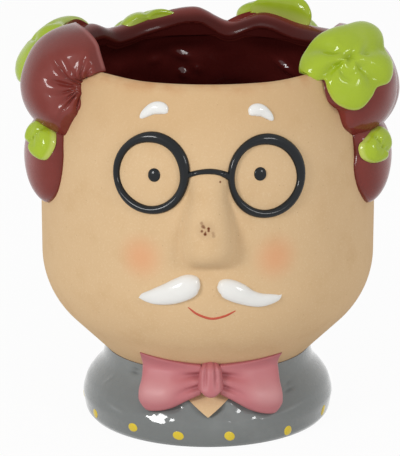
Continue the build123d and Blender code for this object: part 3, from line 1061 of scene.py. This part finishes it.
@dataclass
class Hair:
    """Maroon hair: a cap with a rolled lip, tufts round the rim and hanging locks."""

    finishes: Finishes
    tuft_radius: float = 25.0
    tuft_relief: float = 16.0
    pinch_azimuth: float = 53.6
    pinch_behind: float = 24.0
    mouth_radius: float = 52.2
    lip_radius: float = 51.3
    roll_radius: float = 5.7
    lock_relief: float = 8.5
    lock_spread: float = 60.0
    lock_height: float = 111.0
    lock_reach: float = 15.6
    lock_face: float = 5.4
    lock_drop: float = 3.6
    lock_lean: float = 0.53
    cap_azimuth: float = 59.0
    cap_bottom: float = 104.0
    cap_thickness: float = 3.0
    tufts: dict[str, Point] = field(
        default_factory=lambda: {
            "left_front": (-72.0, 138.0),
            "right_front": (73.0, 137.0),
            "left_side": (-107.0, 133.0),
            "right_side": (98.0, 132.0),
            "back_left": (-157.0, 128.0),
            "back_right": (155.0, 131.0),
        }
    )
    locks: dict[str, float] = field(
        default_factory=lambda: {
            "left_front": -77.0,
            "right_front": 77.0,
            "left_side": -111.0,
            "right_side": 111.0,
            "back_left": -145.0,
            "back_right": 145.0,
            "nape": 180.0,
        }
    )
    tuft_crowns: dict[str, float] = field(default_factory=lambda: {"left_front": 1.02, "right_front": 1.05})
    left_edge: tuple[Point, ...] = (
        (91, 69), (95, 62.6), (99, 58.8), (104, 57.6), (109, 57.5), (113, 58), (116, 59), (119, 59.2),
        (123.2, 58), (128, 55.5), (131.7, 52.9), (136.7, 53.6), (140.8, 55.2), (142.8, 54.4), (144.2, 51),
        (145.3, 48.8), (146.5, 46.6), (152, 46),
    )
    right_edge: tuple[Point, ...] = (
        (89, 71), (94, 65), (99, 60.4), (104, 58), (108.5, 57.9), (112, 59.6), (117, 60), (121, 58.4),
        (124.5, 55), (131.3, 53.4), (133, 51), (135.6, 48), (139, 47.2), (143.3, 46.4), (146, 38),
        (150, 36.5),
    )
    left_crest: tuple[Point, ...] = (
        (40, 143), (46.5, 147.3), (50.3, 152), (52.5, 156.2), (57.7, 160.6), (68, 161.2), (110, 161.2),
    )
    right_crest: tuple[Point, ...] = (
        (34, 146.6), (42, 149), (50, 154), (56, 158), (62, 160.8), (72, 161.4), (110, 161.4),
    )
    crest: tuple[Point, ...] = (
        (60, 147), (80, 150), (105, 151), (136, 150), (155, 153.2), (171, 148.7), (185, 154.5), (205, 151.5),
        (224, 148.5), (236, 152), (258, 150), (280, 150), (300, 147),
    )

    def tuft_axes(self, azimuth: float, height: float) -> Matrix:
        """A tuft's own axes.

        Args:
            azimuth: The tuft's azimuth.
            height: The tuft's height.

        Returns:
            The axes as columns: across, up and out.
        """
        out = HEAD.normal(azimuth, height)
        across = placed(1, azimuth + 90, 0)
        return Matrix((across, out.cross(across), out)).transposed()

    def tuft_centre(self, name: str) -> Vector:
        """The middle of a tuft's ball."""
        azimuth, height = self.tufts[name]
        return HEAD.at(azimuth, height, self.tuft_relief - self.tuft_radius)

    def lock_centre(self, name: str) -> Vector:
        """The middle of the wide ball that leaves are laid out on before they are pressed to a lock."""
        return HEAD.at(self.locks[name], self.lock_height, self.lock_relief - self.lock_spread)

    def seat(self, point: Vector, mouth: float) -> Vector:
        """Keep a point of a tuft out of the hollow, with a rounded inner lip.

        Args:
            point: The point.
            mouth: How near to the axis the tuft may come over the rim.

        Returns:
            The point, moved out where it has to.
        """
        floor = mouth if point.z > HEAD.rim_height - 0.5 else HEAD.radius(point.z) - 2.0
        return drawn(point, floor + softened(reach_of(point) - floor, 0.8))

    def behind_edge(self, point: Vector, side: Side, soft: float) -> Vector:
        """Keep a point behind the hair line, the hair rounded off towards it.

        Args:
            point: The point.
            side: Which side of the face it is on.
            soft: How wide the rounding is, in degrees.

        Returns:
            The point, turned back about the axis where it lay on the face.
        """
        line = along(self.left_edge if side is Side.LEFT else self.right_edge, point.z)
        azimuth = azimuth_of(point) * side.value
        kept = line + softened(azimuth - line, soft)
        return Matrix.Rotation(math.radians((kept - azimuth) * side.value), 3, "Z") @ point

    def thinned(self, point: Vector) -> Vector:
        """Bring a front tuft down to the skin towards the face, where it is only a thin foot.

        Args:
            point: A point of the tuft.

        Returns:
            The point, brought in and down where it has to.
        """
        azimuth = azimuth_of(point)
        aside = abs(azimuth)
        most = HEAD.radius(point.z) + 1.0 + 20 * ramp(46, 74, aside) ** 0.8
        crest = along(self.left_crest if azimuth < 0 else self.right_crest, aside)
        kept = drawn(point, most - softened(most - reach_of(point), 1.2))
        kept.z = crest - softened(crest - point.z, 0.8)
        return kept

    def tuft_skin(self, name: str, mouth: float, way: Vector) -> Vector:
        """A tuft's plain surface, before the hair line cuts it.

        Args:
            name: The tuft.
            mouth: How near to the pot's axis the surface may come over the rim.
            way: The direction from the middle of its ball.

        Returns:
            The point.
        """
        azimuth, height = self.tufts[name]
        front = "front" in name
        axes = self.tuft_axes(azimuth, height)
        own = axes.transposed() @ way
        if front and own.x * azimuth < 0:
            own.x *= 1.22 if azimuth < 0 else 1.12
        own.y *= 0.84 if own.y < 0 else self.tuft_crowns.get(name, 1.0)
        swell = 1 + 0.025 * noise.noise(way * 1.6 + Vector((azimuth, 0, 0)))
        point = self.tuft_centre(name) + axes @ own * self.tuft_radius * swell
        point = self.seat(point, mouth)
        return self.thinned(point) if front else point

    def lock_outline(self, name: str, turn: float) -> float:
        """Reach of a lock's edge, its point leaning towards the face.

        Args:
            name: The lock.
            turn: The direction, as an angle.

        Returns:
            The reach.
        """
        side = Side.of(self.locks[name]).value
        lean = 0.0 if name == "nape" else -self.lock_lean * side
        face = max(-side * math.cos(turn), 0.0) if "front" in name else 0.0
        tip = max(-math.sin(turn - lean), 0.0) ** 4
        return self.lock_reach + self.lock_face * face + self.lock_drop * tip

    def lock_swell(self, share: float) -> float:
        """How far a lock stands out, by share of its reach."""
        return self.lock_relief * (1 - min(share, 1.0) ** 2.4) ** 0.6

    def lock_skin(self, name: str, way: Vector) -> Vector:
        """A lock's surface.

        Args:
            name: The lock.
            way: The direction from the middle of its wide ball.

        Returns:
            The point.
        """
        ball = self.lock_centre(name) + way * self.lock_spread
        azimuth = azimuth_of(ball)
        across = math.radians(wrapped(azimuth - self.locks[name])) * HEAD.radius(ball.z)
        up = ball.z - self.lock_height
        reach = self.lock_outline(name, math.atan2(up, across))
        return HEAD.at(azimuth, ball.z, self.lock_swell(math.hypot(across, up) / reach))

    def gather(self, name: str) -> Gather:
        """The folds of a tuft, pinched towards the face.

        Args:
            name: The tuft.

        Returns:
            The folds, without depth where a leaf hides them.
        """
        azimuth, height = self.tufts[name]
        front = "front" in name
        side = Side.of(azimuth).value
        pinch = side * (self.pinch_azimuth if front else abs(azimuth) - self.pinch_behind)
        level = height + (1.5 if front else -8.0)
        out = HEAD.normal(pinch, level)
        away = Vector((0, 0, side)).cross(Vector((out.x, out.y, 0))).normalized()
        point = HEAD.at(pinch, level, 1.0)
        hidden = {"depth": 0.0} if name == "right_front" else {}
        return Gather(point, away, out, 14.0 if front else 11.0, **hidden)

    def tuft(self, name: str) -> None:
        """One tuft, those without a leaf in front gathered towards the face.

        Args:
            name: The tuft.
        """
        front = "front" in name
        side = Side.of(self.tufts[name][0])
        gather = self.gather(name)
        mouth = self.mouth_radius if front else self.lip_radius + self.roll_radius
        bm = bmesh.new()
        bmesh.ops.create_icosphere(bm, subdivisions=7 if front else 6, radius=1)
        layer = bm.verts.layers.float.new("thin")
        for vert in bm.verts:
            way = vert.co.normalized()
            point = self.tuft_skin(name, mouth, way)
            if front:
                point = self.behind_edge(point, side, 2.5)
            relief = gather.depth * gather.relief(point)
            lip = bell(reach_of(point) - self.mouth_radius - 1.0, 0.9) * ramp(146, 148, point.z)
            vert[layer] = 0.25 * relief + 0.7 * lip
            vert.co = point + way * relief
        Maker.piece(f"tuft_{name}", bm, [self.finishes.maroon], "maroon_glaze", f"hair_tuft_{name}")

    def lock(self, name: str) -> None:
        """One hanging drop.

        Args:
            name: The lock.
        """
        azimuth = self.locks[name]
        bm = Maker.pebble(partial(self.lock_outline, name), lambda share, turn: self.lock_swell(share), 1.5)
        layer = bm.verts.layers.float.new("thin")
        for vert in bm.verts:
            vert[layer] = 0.4 * bell(vert.co.z - self.lock_relief, 2.5)
        HEAD.wrap(bm, azimuth, self.lock_height)
        if "front" in name:
            for vert in bm.verts:
                vert.co = self.behind_edge(vert.co, Side.of(azimuth), 1.6)
        Maker.piece(f"lock_{name}", bm, [self.finishes.maroon], "maroon_glaze", f"hair_lock_{name}")

    def cap(self) -> None:
        """The layer under the tufts, from temple to temple, with a wavy roll over the rim."""
        joint = 0.6
        sunk = 2.0
        skirt = 2.6
        bm = Maker.slab(220, 60)
        layer = bm.verts.layers.float.new("thin")
        for vert in bm.verts:
            azimuth = 180 + vert.co.x * (180 - self.cap_azimuth)
            share = 0.5 + 0.5 * vert.co.y
            outside = vert.co.z > 0
            middle = along(self.crest, azimuth) - self.roll_radius
            if share < joint:
                level = self.cap_bottom + (middle - 4 - self.cap_bottom) * share / joint
                rise = (self.cap_thickness + 1.5) * ramp(0.0, 0.12, share) - 1.5
                reach = HEAD.radius(level) + (rise if outside else -sunk)
            else:
                sweep = (share - joint) / (1 - joint)
                dip = math.degrees(math.asin((middle - HEAD.rim_height + skirt) / self.roll_radius))
                start = -45 if outside else 180 + max(dip, 15)
                turn = math.radians(start + (90 - start) * sweep)
                reach = self.lip_radius + self.roll_radius * (1 + math.cos(turn))
                if turn > math.pi:
                    reach = self.lip_radius + 0.4
                level = middle + self.roll_radius * math.sin(turn)
                # Painted highlight: the roll's top is paler. Painted shade: its inner side and the skirt
                # under it are darker, fading towards the top.
                pale, pooled = 0.5 * bell(sweep - 0.75, 0.2), -0.8 * (1 - ramp(0.5, 0.95, sweep))
                vert[layer] = pale if outside else pooled
            root = HEAD.radius(min(level, HEAD.rim_height)) - sunk
            reach = root + (1 - abs(vert.co.x) ** 60) * (reach - root)
            back = 5 * (1 - ramp(118, 134, level)) * vert.co.x
            vert.co = placed(reach, azimuth - back, level)
        for face in bm.faces:
            centre = face.calc_center_median()
            middle = along(self.crest, azimuth_of(centre) % 360) - self.roll_radius
            face.material_index = int(reach_of(centre) < self.lip_radius + 0.6 and centre.z < middle)
        materials = [self.finishes.maroon, self.finishes.inside]
        Maker.piece("hair_layer", bm, materials, "maroon_glaze", "hair_cap")

    def build(self) -> None:
        """Build the cap, the tufts and the locks."""
        self.cap()
        for name in self.tufts:
            self.tuft(name)
        for name in self.locks:
            self.lock(name)


@dataclass(frozen=True)
class LeafPlan:
    """One leaf: where it lies on a ball, and its edge, given by a table or by a size and lobes."""

    name: str
    skin: Callable[[Vector], Vector]
    radius: float
    azimuth: float
    elevation: float
    turn: float = 0.0
    size: float = 9.0
    lobes: int = 3
    lobe_depth: float = 0.24
    thickness: float = 3.0
    fold: float = 1.5
    dimple: float = 1.6
    edge: tuple[Point, ...] = ()
    valleys: tuple[float, ...] = ()
    curl: tuple[Point, ...] = ((0, 0.0), (180, 0.0))
    curl_start: float = 0.4
    crease: float = 0.0

    def outline(self, turn: float) -> float:
        """Reach of the leaf's edge.

        Args:
            turn: The direction, as an angle.

        Returns:
            The reach.
        """
        if self.edge:
            return around(self.edge, turn)
        swing = self.lobes * (turn - math.radians(self.turn))
        lobe = abs(math.cos(swing / 2)) ** 0.7
        uneven = 1 + 0.07 * math.sin(2 * turn + self.turn) + 0.05 * math.sin(3 * turn + 2 * self.turn)
        return self.size * uneven * (1 - self.lobe_depth * 1.6 * (1 - lobe))

    def valley(self, turn: float) -> float:
        """How near an angle is to a fold between lobes, up to 1."""
        places = self.valleys or [self.turn + 360 / self.lobes * (i + 0.5) for i in range(self.lobes)]
        return max(bell(wrapped(math.degrees(turn) - place), 16) for place in places)

    def top(self, share: float, turn: float) -> float:
        """Height of the leaf's upper side: dimpled, folded between the lobes, round at its edge.

        Args:
            share: The place, as a share of the reach.
            turn: The direction, as an angle.

        Returns:
            The height.
        """
        edge = (1 - share**8) ** 0.5
        fold = -self.fold * self.valley(turn) * ramp(0.12, 0.4, share) * (1 - 0.5 * ramp(0.7, 1.0, share))
        ruffle = 0.45 * math.sin(3 * turn + 9 * share + self.turn) * share * (1 - share)
        swell = 0.5 * bell(share - 0.6, 0.25)
        arc = -self.crease * bell(share - 0.36, 0.06) * bell(math.degrees(turn) + 105, 50)
        curl = around(self.curl, turn) * ramp(self.curl_start, self.curl_start + 0.55, share)
        return (self.thickness + fold + ruffle + swell + arc + curl - self.dimple * bell(share, 0.12)) * edge


@dataclass
class Foliage:
    """Green leaves on the hair."""

    finishes: Finishes
    hair: Hair
    front_edge: tuple[Point, ...] = (
        (-172, 22), (-162, 19), (-144, 13), (-124, 15.4), (-100, 20.4), (-80, 23), (-58, 19.6), (-42, 17.4),
        (-24, 20.8), (0, 21.4), (20, 20.6), (36, 25.4), (48, 26.2), (62, 24), (80, 18.6), (104, 17),
        (125, 17.8), (150, 20), (170, 21.6),
    )
    front_curl: tuple[Point, ...] = (
        (-100, 0.0), (-40, 0.0), (0, 0.6), (20, 1.0), (40, 2.8), (55, 2.3), (70, 0.8), (88, 0.0), (140, 0.0),
    )
    back_curl: tuple[Point, ...] = (
        (0, 0.0), (40, 0.0), (70, 0.0), (90, 0.2), (106, 1.8), (122, 3.6), (142, 4.6), (165, 3.4), (190, 0.0),
    )
    back_edge: tuple[Point, ...] = (
        (0, 19), (24, 25.6), (40, 26), (56, 23), (68, 21.5), (84, 26), (105, 30.5), (125, 30.5), (146, 27),
        (166, 21.5), (186, 17), (220, 21), (250, 18), (290, 22), (325, 17),
    )
    side_edge: tuple[Point, ...] = (
        (-150, 18), (-112, 22), (-74, 19), (-32, 21.5), (0, 20), (30, 16.5), (60, 19.5), (88, 17), (112, 21),
        (126, 29), (140, 33), (153, 27), (166, 18), (180, 15.5),
    )
    left_low_edge: tuple[Point, ...] = (
        (-168, 8.4), (-150, 5.6), (-128, 5), (-105, 6), (-70, 8), (-50, 9.6), (-30, 9.2), (-8, 8.6),
        (12, 7.8), (34, 7.2), (62, 6.2), (84, 6.8), (106, 8), (130, 8.4), (150, 9), (172, 9),
    )
    right_low_edge: tuple[Point, ...] = (
        (-178, 8), (-160, 8), (-136, 7), (-94, 5.8), (-56, 6.4), (-28, 7), (-10, 9), (12, 10), (35, 10.2),
        (55, 9.2), (75, 7.4), (107, 6), (140, 6.4), (160, 7.6),
    )

    def plans(self) -> list[LeafPlan]:
        """Lay out the leaves.

        Returns:
            Every leaf and where it lies.
        """
        big, small = self.hair.tuft_radius, self.hair.lock_spread
        tuft, lock = self.hair.tuft_skin, self.hair.lock_skin
        over, behind, hung = 54.0, self.hair.lip_radius + self.hair.roll_radius, 48.0
        front = {"edge": self.front_edge, "valleys": (22.0, -40.0, -146.0, 150.0), "fold": 2.2}
        front |= {"curl": self.front_curl, "crease": 0.9}
        side = {"edge": self.side_edge, "valleys": (88.0, 30.0, -74.0, 180.0), "dimple": 3.4}
        lobed = {"size": 19.0, "lobes": 5, "lobe_depth": 0.22}
        back = {"edge": self.back_edge, "valleys": (66.0, 186.0, 250.0, 325.0), "thickness": 5.0}
        back |= {"curl": self.back_curl, "curl_start": 0.1}
        low = {"thickness": 2.8, "fold": 0.9, "dimple": 0.4}
        left_low = {**low, "edge": self.left_low_edge, "valleys": (-135.0, 66.0)}
        right_low = {**low, "edge": self.right_low_edge, "valleys": (107.0, -28.0)}
        return [
            LeafPlan("right_front", partial(tuft, "right_front", hung), big, 16.0, 38.0, 20.0, **front),
            LeafPlan("left_side", partial(tuft, "left_side", behind), big, -95.0, 38.0, **side),
            LeafPlan("back_left", partial(tuft, "back_left", over), big, -150.0, 64.0, 35.0, **lobed),
            LeafPlan("back_right", partial(tuft, "back_right", behind), big, 127.0, 56.0, 46.0, **back),
            LeafPlan("left_low", partial(lock, "left_front"), small, -64.9, 12.4, **left_low),
            LeafPlan("right_low", partial(lock, "right_front"), small, 63.2, 9.4, **right_low),
            LeafPlan("nape_left", partial(lock, "back_left"), small, -142.0, 13.0, 30.0, **low),
            LeafPlan("nape_right", partial(lock, "right_side"), small, 113.2, 12.5, 5.0, **low),
        ]

    def leaf(self, plan: LeafPlan) -> None:
        """Lay one leaf over its ball.

        Args:
            plan: The leaf.
        """
        bm = Maker.pebble(plan.outline, plan.top, 1.5, 160 if plan.edge else 96)
        layer = bm.verts.layers.float.new("thin")
        up = math.radians(plan.elevation)
        look = placed(math.cos(up), plan.azimuth, math.sin(up))
        across = placed(1, plan.azimuth + 90, 0)
        rise = look.cross(across)
        for vert in bm.verts:
            reach = reach_of(vert.co)
            turn = math.atan2(vert.co.y, vert.co.x)
            share = reach / plan.outline(turn)
            bend = reach / (plan.radius + plan.thickness)
            way = look * math.cos(bend) + (across * math.cos(turn) + rise * math.sin(turn)) * math.sin(bend)
            pale = 0.7 * ramp(0.88, 1.0, share)
            vert[layer] = pale - 0.7 * bell(share, 0.1) - 0.4 * plan.valley(turn) * share
            vert.co = plan.skin(way) + way * vert.co.z
        Maker.piece(f"green_{plan.name}", bm, [self.finishes.green], "green_glaze", f"leaf_{plan.name}")

    def build(self) -> None:
        """Lay every leaf."""
        for plan in self.plans():
            self.leaf(plan)


@dataclass
class Shirt:
    """The grey bust with its band of painted dots, and the bare neck."""

    finishes: Finishes
    turns: int = 288
    rows: int = 90
    wall: float = 5.0
    floor_low: float = 3.0
    floor_high: float = 9.0
    foot_width: float = 6.0
    drain_radius: float = 6.5
    dot_radius: float = 2.0
    dot_relief: float = 0.35
    dots: tuple[Point, ...] = (
        (-63.7, 4.2), (-35.8, 5.3), (-13.3, 4.9), (9.6, 5.0), (39.0, 3.2), (67.2, 4.6), (92, 4.4), (118, 5.0),
        (143, 4.2), (168, 5.1), (194, 4.6), (219, 4.9), (245, 4.2), (271, 5.0),
    )

    def section(self) -> list[Point]:
        """The bust's section, up the outside and down through the well to the foot ring.

        Returns:
            Points (radius, height).
        """
        top = BUST.outline[-1][0]
        outside = [(BUST.radius(top * i / self.rows), top * i / self.rows) for i in range(self.rows + 1)]
        foot = BUST.radius(0)
        return outside + [
            (HEAD.neck_radius - HEAD.wall, top),
            (foot - self.wall, self.floor_high + 1),
            (foot - self.wall - 1, self.floor_high),
            (self.drain_radius, self.floor_high),
            (self.drain_radius, self.floor_low),
            (foot - self.foot_width, self.floor_low),
            (foot - self.foot_width, 0.6),
            (foot - self.foot_width + 0.6, 0.0),
            (foot - 1.0, 0.0),
        ]

    def bust(self) -> None:
        """The bust, wrinkled on the outside and glazed dark in the well."""
        bm = Maker.turned(self.section(), self.turns)
        for face in bm.faces:
            centre = face.calc_center_median()
            deep = reach_of(centre) < BUST.radius(centre.z) - 2.5
            face.material_index = int(deep and centre.z > self.floor_low + 0.5)
        layer = bm.verts.layers.float.new("thin")
        for vert in bm.verts:
            if reach_of(vert.co) > BUST.radius(vert.co.z) - 0.3:
                azimuth = azimuth_of(vert.co)
                # The wrinkles also mark the glaze: thin on the ridges and pooled in the grooves, and painted
                # highlight and painted shade that bring the wrinkles out.
                vert[layer] = BUST.wrinkle(azimuth, vert.co.z)
                vert.co = BUST.at(azimuth, vert.co.z)
        Maker.piece("shirt", bm, [self.finishes.grey, self.finishes.inside], "grey_glaze", "bust")

    def dot(self, number: int, azimuth: float, height: float) -> None:
        """One brushed dot of enamel, a little out of round.

        Args:
            number: Its number in the band.
            azimuth: Its azimuth.
            height: Its height.
        """
        bm = Maker.pebble(
            lambda turn: self.dot_radius * (1 + 0.1 * math.sin(2 * turn + number)),
            lambda share, turn: self.dot_relief * math.sqrt(1 - share * share),
            0.3,
            48,
        )
        for vert in bm.verts:
            level = height + vert.co.y
            vert.co = BUST.at(azimuth + math.degrees(vert.co.x / BUST.radius(level)), level, vert.co.z)
        Maker.piece(f"dot_{number}", bm, [self.finishes.yellow], "")

    def build(self) -> None:
        """Build the bust, dress the neck and paint the dots."""
        self.bust()
        Maker.dress("neck_v", self.finishes.bisque)
        for number, (azimuth, height) in enumerate(self.dots):
            self.dot(number, azimuth, height)


@dataclass
class BowTie:
    """The pink bow: two pinched wings and a knot."""

    finishes: Finishes
    standing: float = 45.6
    lean: float = 0.3
    middle: float = 27.6
    turned: float = 1.2
    root: float = 4.5
    reach: float = 29.9
    wing_relief: float = 3.0
    knot_relief: float = 6.8
    knot_half: Point = (4.7, 7.2)
    sunk: float = 4.0
    sag: float = 0.9
    spread: dict[Side, tuple[Point, ...]] = field(
        default_factory=lambda: {
            Side.LEFT: ((-1, 0.0), (-0.4, -0.2), (0, -0.6), (0.4, 0.2), (0.7, -0.2), (1, -1.4)),
            Side.RIGHT: ((-1, 0.0), (-0.4, -0.1), (0, -0.2), (0.4, 0.7), (0.7, 0.6), (1, 0.3)),
        }
    )
    upper: tuple[Point, ...] = ((0, 33.4), (0.25, 33.9), (0.6, 34.8), (1, 36.4))
    lower: tuple[Point, ...] = ((0, 21.4), (0.2, 18.8), (0.45, 15.2), (0.68, 13.3), (0.87, 13.0), (1, 14.6))

    def stand(self, height: float) -> float:
        """How far from the axis the bow's back stands, more towards its foot."""
        return self.standing + self.lean * (self.middle - height)

    def wing(self, side: Side) -> None:
        """One wing, wrapped round the collar and folded towards the knot.

        Args:
            side: The side of the face it is on.
        """
        bm = Maker.slab(64, 48)
        layer = bm.verts.layers.float.new("thin")
        for vert in bm.verts:
            share = 0.5 + 0.5 * vert.co.x
            across = vert.co.y
            corner = along(self.spread[side], across) * share**2
            corner -= 2.4 * ramp(-0.7, -1.0, across) * share**6
            azimuth = self.turned + side.value * (self.root + self.reach * share + corner)
            low = along(self.lower, share) - side.value * self.sag * share
            high = along(self.upper, share) - side.value * 0.5 * share
            height = (low + high) / 2 + (high - low) / 2 * across
            pillow = max(1 - abs(across) ** 3.5, 0.0) ** 0.5 * max(1 - share**16, 0.0) ** 0.5
            crease = bell(across - 0.3, 0.18) + 0.8 * bell(across + 0.4, 0.16)
            fold = -2.0 * crease * (1 - ramp(0.05, 0.5, share))
            belly = 2.4 * bell(across + 0.3, 0.55) * ramp(0.1, 0.6, share)
            belly -= 0.9 * ramp(0.35, 0.9, across) * share
            rise = (self.wing_relief + belly + fold) * pillow if vert.co.z > 0 else -self.sunk
            stand = self.stand(height)
            reach = stand + softened(HEAD.radius(height) + 0.4 - stand, 1.2) + rise
            vert[layer] = 0.22 * belly * pillow - 0.6 * (1 - pillow) + 0.25 * fold
            vert.co = placed(reach, azimuth, height)
        pink = [self.finishes.pink]
        Maker.piece(f"bow_wing_{side.word}", bm, pink, "pink_glaze", f"bow_tie_{side.word}")

    def knot(self) -> None:
        """The knot, with two soft upright folds."""
        wide, tall = self.knot_half
        bm = Maker.slab(40, 40)
        layer = bm.verts.layers.float.new("thin")
        for vert in bm.verts:
            across, up = vert.co.x, vert.co.y
            half = wide * (1 - 0.1 * up) * (1 - 0.5 * ramp(-0.45, -1.0, up)) * (1 - 0.3 * ramp(0.6, 1.0, up))
            height = self.middle + 0.4 + tall * up * (1 - 0.12 * across * across)
            pillow = max(1 - abs(across) ** 3, 0.0) ** 0.5 * max(1 - abs(up) ** 5, 0.0) ** 0.5
            fold = -1.1 * (bell(across - 0.38, 0.15) + bell(across + 0.42, 0.15)) * ramp(-0.8, 0.3, up)
            rise = (self.knot_relief + fold) * pillow if vert.co.z > 0 else -self.sunk
            azimuth = self.turned + math.degrees(half * across / self.standing)
            vert[layer] = 0.4 * fold - 0.5 * (1 - pillow)
            vert.co = placed(self.stand(height) + rise, azimuth, height)
        Maker.piece("bow_knot", bm, [self.finishes.pink], "pink_glaze", "bow_tie_knot")

    def build(self) -> None:
        """Build both wings and the knot."""
        for side in Side:
            self.wing(side)
        self.knot()


@dataclass
class Studio:
    """Floor, light and camera."""

    camera_place: tuple[float, float, float] = (-0.0031, -0.880, 0.321)
    camera_drop: float = 15.62
    lens: float = 180.1
    sensor: float = 36.0
    paper: float = 0.95
    floor_size: float = 6.0
    room_light: float = 0.48
    lamp_aim: float = 0.08
    lamps: tuple[tuple[str, tuple[float, float, float], float, float], ...] = (
        ("key", (-0.9, -1.0, 0.58), 0.34, 7.7),
        ("fill", (0.9, -0.9, 0.6), 0.3, 3.7),
    )

    def floor(self) -> None:
        """A wide sheet of white paper that keeps the pot's shadow."""
        bm = bmesh.new()
        bmesh.ops.create_grid(bm, x_segments=1, y_segments=1, size=self.floor_size)
        mesh = bpy.data.meshes.new("floor")
        bm.to_mesh(mesh)
        bm.free()
        shader = Shader("paper")
        matte = shader.principled(Base_Color=(0.85, 0.85, 0.85), Roughness=0.9)
        white = shader.node("ShaderNodeEmission", inputs={"Color": (1, 1, 1), "Strength": 1.0})
        mesh.materials.append(shader.close(shader.blend(shader.seen() * self.paper, matte, white)))
        floor = bpy.data.objects.new("floor", mesh)
        bpy.context.scene.collection.objects.link(floor)

    def lamp(self, name: str, place: tuple[float, float, float], size: float, power: float) -> None:
        """One square soft light that looks at the pot.

        Args:
            name: The lamp's name.
            place: Where it stands, in metres.
            size: Its side, in metres.
            power: Its power, in watts.
        """
        data = bpy.data.lights.new(name, "AREA")
        data.size = size
        data.energy = power
        lamp = bpy.data.objects.new(name, data)
        lamp.location = place
        way = Vector((0, 0, self.lamp_aim)) - Vector(place)
        lamp.rotation_euler = way.to_track_quat("-Z", "Y").to_euler()
        bpy.context.scene.collection.objects.link(lamp)

    def world(self) -> None:
        """An even white room, dimmer as light than as it looks."""
        world = bpy.data.worlds.new("room")
        world.use_nodes = True
        nodes = Nodes(world.node_tree)
        light, white = (
            nodes.node("ShaderNodeBackground", inputs={"Color": (1, 1, 1), "Strength": strength})
            for strength in (self.room_light, 1.0)
        )
        nodes.node("ShaderNodeOutputWorld", inputs={0: nodes.blend(nodes.seen(), light, white)})
        bpy.context.scene.world = world

    def camera(self) -> None:
        """The camera at the photograph's place."""
        data = bpy.data.cameras.new("camera")
        data.sensor_width = self.sensor
        data.lens = self.lens
        camera = bpy.data.objects.new("camera", data)
        camera.location = self.camera_place
        camera.rotation_euler = (math.radians(90 - self.camera_drop), 0, 0)
        bpy.context.scene.collection.objects.link(camera)
        bpy.context.scene.camera = camera

    def build(self) -> None:
        """Set the stage."""
        self.floor()
        for lamp in self.lamps:
            self.lamp(*lamp)
        self.world()
        self.camera()
        bpy.context.scene.view_settings.view_transform = "Standard"


def main() -> None:
    """Build the planter in order."""
    logging.basicConfig(level=logging.INFO, format="%(name)s %(message)s")
    finishes = Finishes()
    Head(finishes).build()
    Face(finishes).build()
    hair = Hair(finishes)
    hair.build()
    Foliage(finishes, hair).build()
    Shirt(finishes).build()
    BowTie(finishes).build()
    Maker.dress("drain_plug", finishes.rubber)
    Studio().build()


if __name__ == "__main__":
    main()
